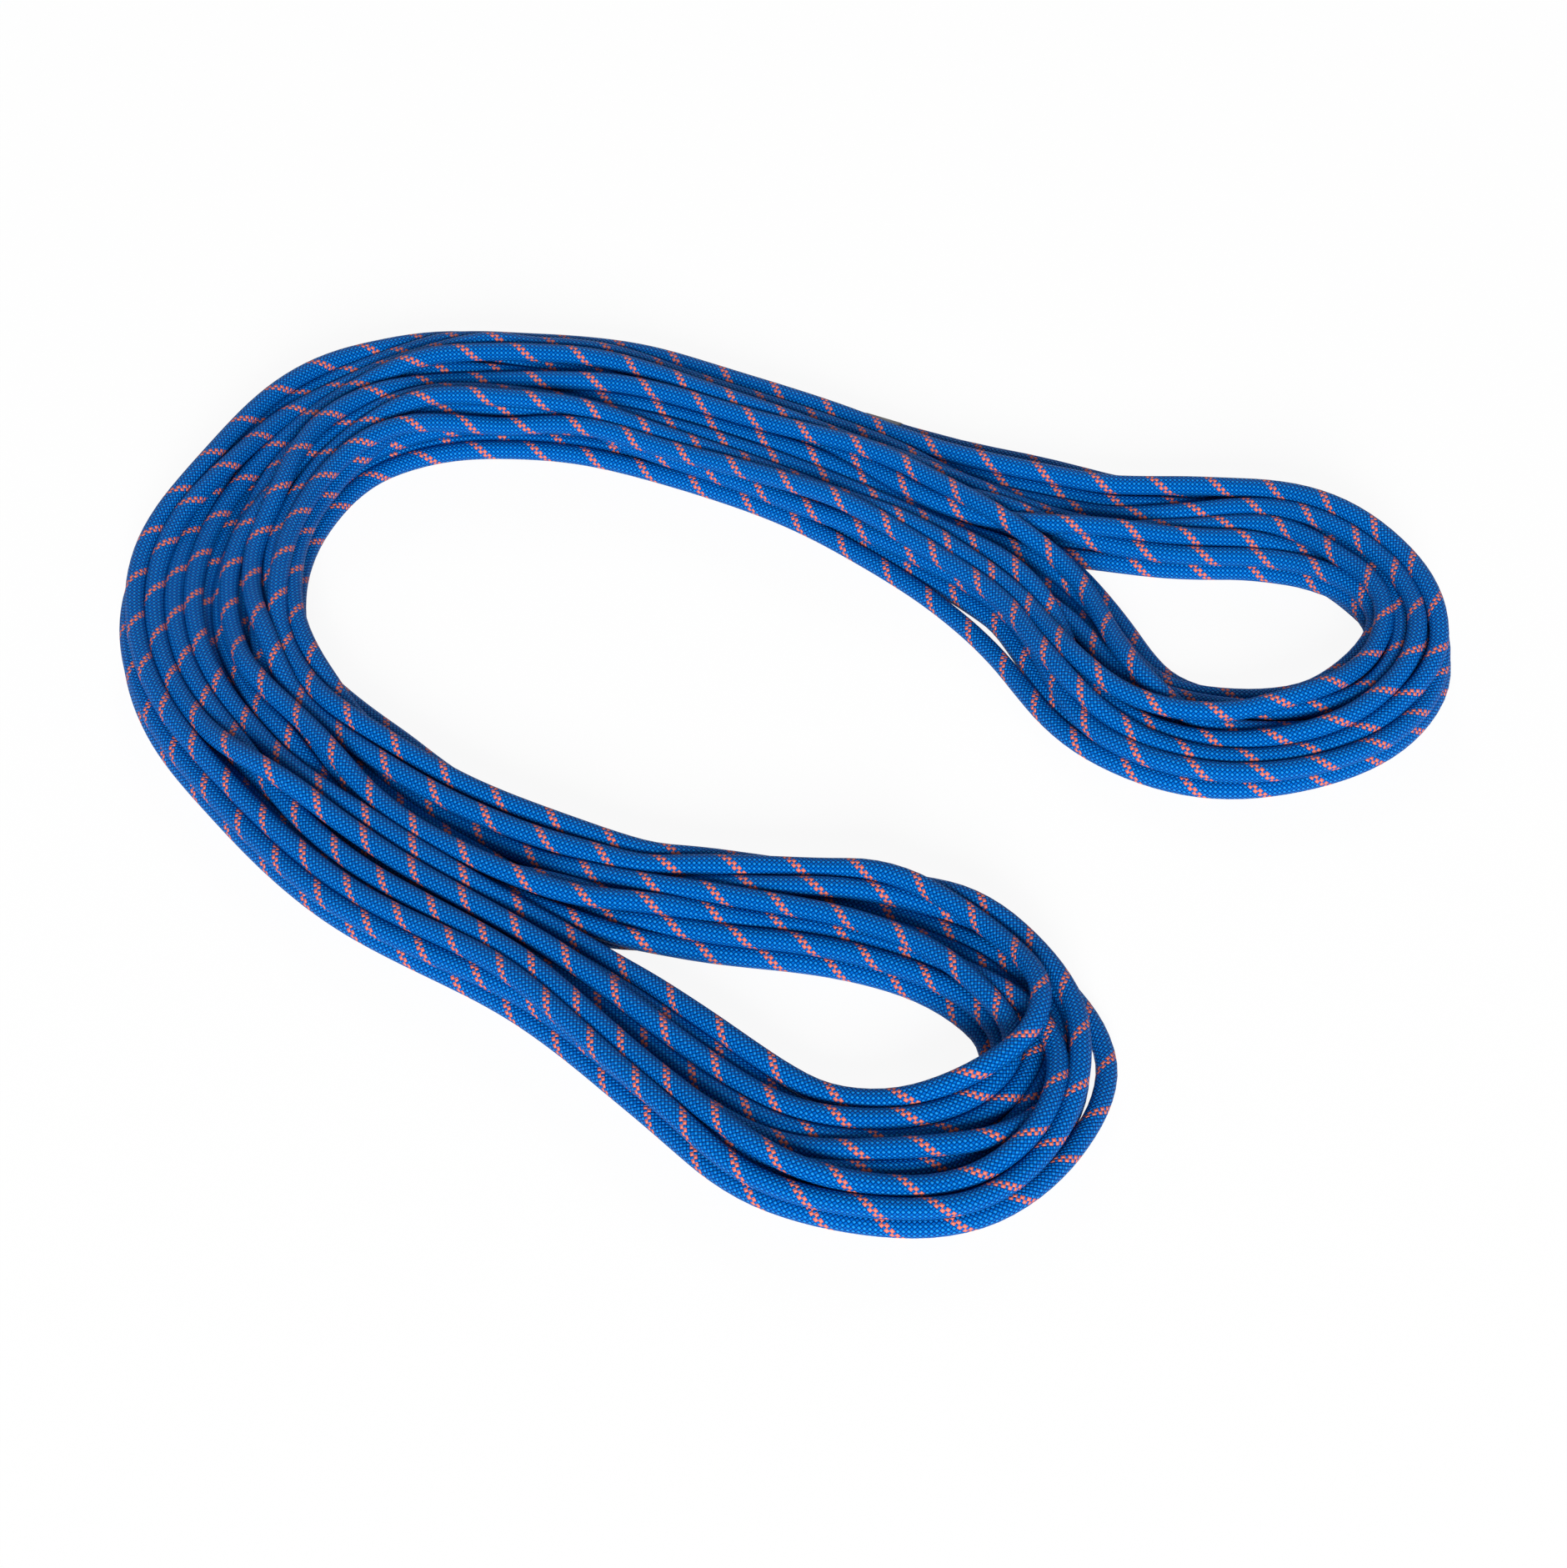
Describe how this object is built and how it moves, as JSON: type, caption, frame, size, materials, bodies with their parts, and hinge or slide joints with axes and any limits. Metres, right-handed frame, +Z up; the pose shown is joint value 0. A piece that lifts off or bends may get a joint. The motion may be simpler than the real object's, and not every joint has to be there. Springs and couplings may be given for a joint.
{
  "type": "dynamic climbing rope",
  "caption": "Kernmantle climbing rope coiled into a long closed skein, laid flat in a C with an open eye at each end, both rope ends lying behind it.",
  "frame": {"origin": "middle of the flat underside that the coiled rope lies on", "axes": "+Z up from that surface, +X along the skein's longest extent towards the open side of the C, +Y towards the top run with the rope's two ends behind it"},
  "size_m": [0.642, 0.578, 0.033],
  "materials": {
    "sheath": "woven polyamide sheath, royal blue with a coral tracer",
    "core_yarn": "white twisted polyamide yarn",
    "tape": "thin plain tape",
    "sleeve": "matt shrunk sleeve",
    "fused_end": "melted and set polyamide"
  },
  "bodies": {
    "root": {"core_strand_01": "core_yarn", "core_strand_02": "core_yarn", "core_strand_03": "core_yarn", "core_strand_04": "core_yarn", "core_strand_05": "core_yarn", "core_strand_06": "core_yarn", "core_strand_07": "core_yarn", "core_strand_08": "core_yarn", "core_strand_09": "core_yarn", "core_strand_10": "core_yarn", "core_strand_11": "core_yarn", "core_strand_12": "core_yarn", "end_sleeve_a": "sleeve", "end_sleeve_b": "sleeve", "fused_tip_a": "fused_end", "fused_tip_b": "fused_end", "hank_left_bend_1": "sheath", "hank_left_bend_2": "sheath", "hank_left_bend_3": "sheath", "hank_left_bend_4": "sheath", "hank_left_bend_5": "sheath", "hank_lower_eye_1": "sheath", "hank_lower_eye_10": "sheath", "hank_lower_eye_11": "sheath", "hank_lower_eye_2": "sheath", "hank_lower_eye_3": "sheath", "hank_lower_eye_4": "sheath", "hank_lower_eye_5": "sheath", "hank_lower_eye_6": "sheath", "hank_lower_eye_7": "sheath", "hank_lower_eye_8": "sheath", "hank_lower_eye_9": "sheath", "hank_lower_run_1": "sheath", "hank_lower_run_2": "sheath", "hank_lower_run_3": "sheath", "hank_top_run_1": "sheath", "hank_top_run_2": "sheath", "hank_top_run_3": "sheath", "hank_upper_eye_1": "sheath", "hank_upper_eye_10": "sheath", "hank_upper_eye_11": "sheath", "hank_upper_eye_2": "sheath", "hank_upper_eye_3": "sheath", "hank_upper_eye_4": "sheath", "hank_upper_eye_5": "sheath", "hank_upper_eye_6": "sheath", "hank_upper_eye_7": "sheath", "hank_upper_eye_8": "sheath", "hank_upper_eye_9": "sheath", "identification_tape": "tape", "sheath_end_a": "sheath", "sheath_end_b": "sheath", "tail_a": "sheath", "tail_b": "sheath"}
  },
  "joints": []
}
